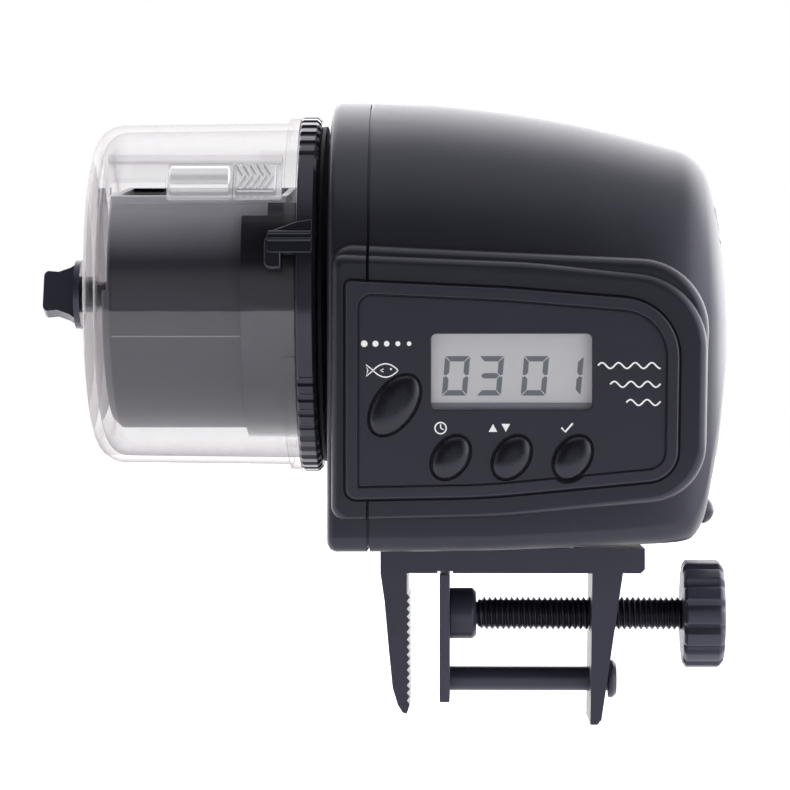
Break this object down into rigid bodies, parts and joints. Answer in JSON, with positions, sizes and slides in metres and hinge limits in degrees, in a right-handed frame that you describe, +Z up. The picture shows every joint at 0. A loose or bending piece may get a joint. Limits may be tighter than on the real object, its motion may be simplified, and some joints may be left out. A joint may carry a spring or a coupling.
{
  "type": "automatic fish feeder",
  "caption": "Clamp-on aquarium food dispenser: clear motor-turned canister, arched black housing with display and buttons, and a screw clamp for the tank's rim.",
  "frame": {"origin": "centre of the rim seat: the underside of the clamp's top plate, where the tank's rim bears", "axes": "+X from the canister to the clamp's knob, +Z up, and the control panel faces -Y"},
  "size_m": [0.1359, 0.0812, 0.1229],
  "materials": {
    "housing_black": "satin, fine spark texture",
    "panel_black": "satin",
    "button_black": "gloss",
    "window_clear": "clear gloss",
    "lcd_grey": "satin",
    "zebra_rubber": "matt",
    "board_green": "solder mask",
    "switch_black": "matt",
    "steel": "bright",
    "contact_nickel": "nickel plate",
    "cell_jacket": "printed jacket, plain",
    "frame_plastic": "natural",
    "gear_acetal": "natural acetal",
    "brass": "machined",
    "cam_red": "gloss",
    "ring_black": "satin",
    "canister_clear": "clear gloss",
    "rotor_black": "satin",
    "clamp_black": "satin",
    "wire_insulation": "smooth"
  },
  "bodies": {
    "housing": {"main_shell": "housing_black", "front_cover": "housing_black", "control_panel": "panel_black", "lcd_window": "window_clear", "lcd_display": "lcd_grey", "zebra_strip": "zebra_rubber", "control_board": "board_green", "board_screws": "steel", "tact_switches": "switch_black", "battery_tray": "switch_black", "battery_cells": "cell_jacket", "battery_contacts": "contact_nickel", "gear_plate_front": "frame_plastic", "gear_plate_back": "frame_plastic", "gear_pillars": "steel", "gear_screws": "steel", "motor_can": "steel", "motor_gearhead": "brass", "idler_axle": "steel", "shaft_bushes": "brass", "position_switch": "switch_black", "clamp_frame": "clamp_black", "case_screws": "steel", "clamp_mount_screws": "steel", "motor_wires": "wire_insulation", "battery_wires": "wire_insulation"},
    "feed_key": {"feed_button": "button_black"},
    "mode_key": {"mode_button": "button_black"},
    "adjust_key": {"adjust_button": "button_black"},
    "set_key": {"set_button": "button_black"},
    "door": {"battery_door": "housing_black"},
    "turntable": {"output_gear": "gear_acetal", "drive_shaft": "steel", "shaft_clip": "steel", "position_cam": "cam_red", "drive_hub": "ring_black", "drum_ring": "ring_black"},
    "idler": {"idler_gear": "gear_acetal"},
    "pinion": {"drive_pinion": "gear_acetal"},
    "canister": {"drum_shell": "canister_clear"},
    "slider": {"outlet_slider": "canister_clear"},
    "rotor": {"metering_rotor": "rotor_black", "end_knob": "ring_black", "rotor_screw": "steel"},
    "jaw": {"pressure_plate": "clamp_black", "swivel_socket": "clamp_black", "guide_rod": "clamp_black"},
    "screw": {"clamp_screw": "clamp_black", "clamp_knob": "clamp_black"}
  },
  "joints": [
    {"name": "drive_spin", "type": "hinge", "parent": "housing", "child": "turntable", "pos_m": [0, 0, 0.0552], "axis": [1, 0, 0], "continuous": true},
    {"name": "idler_spin", "type": "hinge", "parent": "housing", "child": "idler", "pos_m": [0, 0, 0.0312], "axis": [1, 0, 0], "continuous": true},
    {"name": "pinion_spin", "type": "hinge", "parent": "housing", "child": "pinion", "pos_m": [0, 0.017, 0.022], "axis": [1, 0, 0], "continuous": true},
    {"name": "canister_twist", "type": "hinge", "parent": "turntable", "child": "canister", "pos_m": [0, 0, 0.0552], "axis": [-1, 0, 0], "range_deg": [0, 25]},
    {"name": "outlet_slide", "type": "slide", "parent": "canister", "child": "slider", "axis": [-1, 0, 0], "range_m": [0, 0.012]},
    {"name": "rotor_turn", "type": "hinge", "parent": "canister", "child": "rotor", "pos_m": [0, 0, 0.0552], "axis": [1, 0, 0], "range_deg": [-60, 60]},
    {"name": "feed_press", "type": "slide", "parent": "housing", "child": "feed_key", "axis": [0, 1, 0], "range_m": [0, 0.0008], "stiffness_N_per_m": 300, "springref_m": -0.001},
    {"name": "mode_press", "type": "slide", "parent": "housing", "child": "mode_key", "axis": [0, 1, 0], "range_m": [0, 0.0008], "stiffness_N_per_m": 300, "springref_m": -0.001},
    {"name": "adjust_press", "type": "slide", "parent": "housing", "child": "adjust_key", "axis": [0, 1, 0], "range_m": [0, 0.0008], "stiffness_N_per_m": 300, "springref_m": -0.001},
    {"name": "set_press", "type": "slide", "parent": "housing", "child": "set_key", "axis": [0, 1, 0], "range_m": [0, 0.0008], "stiffness_N_per_m": 300, "springref_m": -0.001},
    {"name": "door_swing", "type": "hinge", "parent": "housing", "child": "door", "pos_m": [0.0553, 0, 0.0682], "axis": [0, -1, 0], "range_deg": [0, 75]},
    {"name": "jaw_travel", "type": "slide", "parent": "housing", "child": "jaw", "axis": [1, 0, 0], "range_m": [0, 0.022]},
    {"name": "screw_turn", "type": "hinge", "parent": "jaw", "child": "screw", "pos_m": [0, 0, -0.0086], "axis": [1, 0, 0], "range_deg": [0, 7200]}
  ],
  "couplings": [
    {"joint": "idler_spin", "follows": "drive_spin", "ratio": -4},
    {"joint": "pinion_spin", "follows": "drive_spin", "ratio": 12},
    {"joint": "jaw_travel", "follows": "screw_turn", "m_per_rad": 0.00017507}
  ]
}
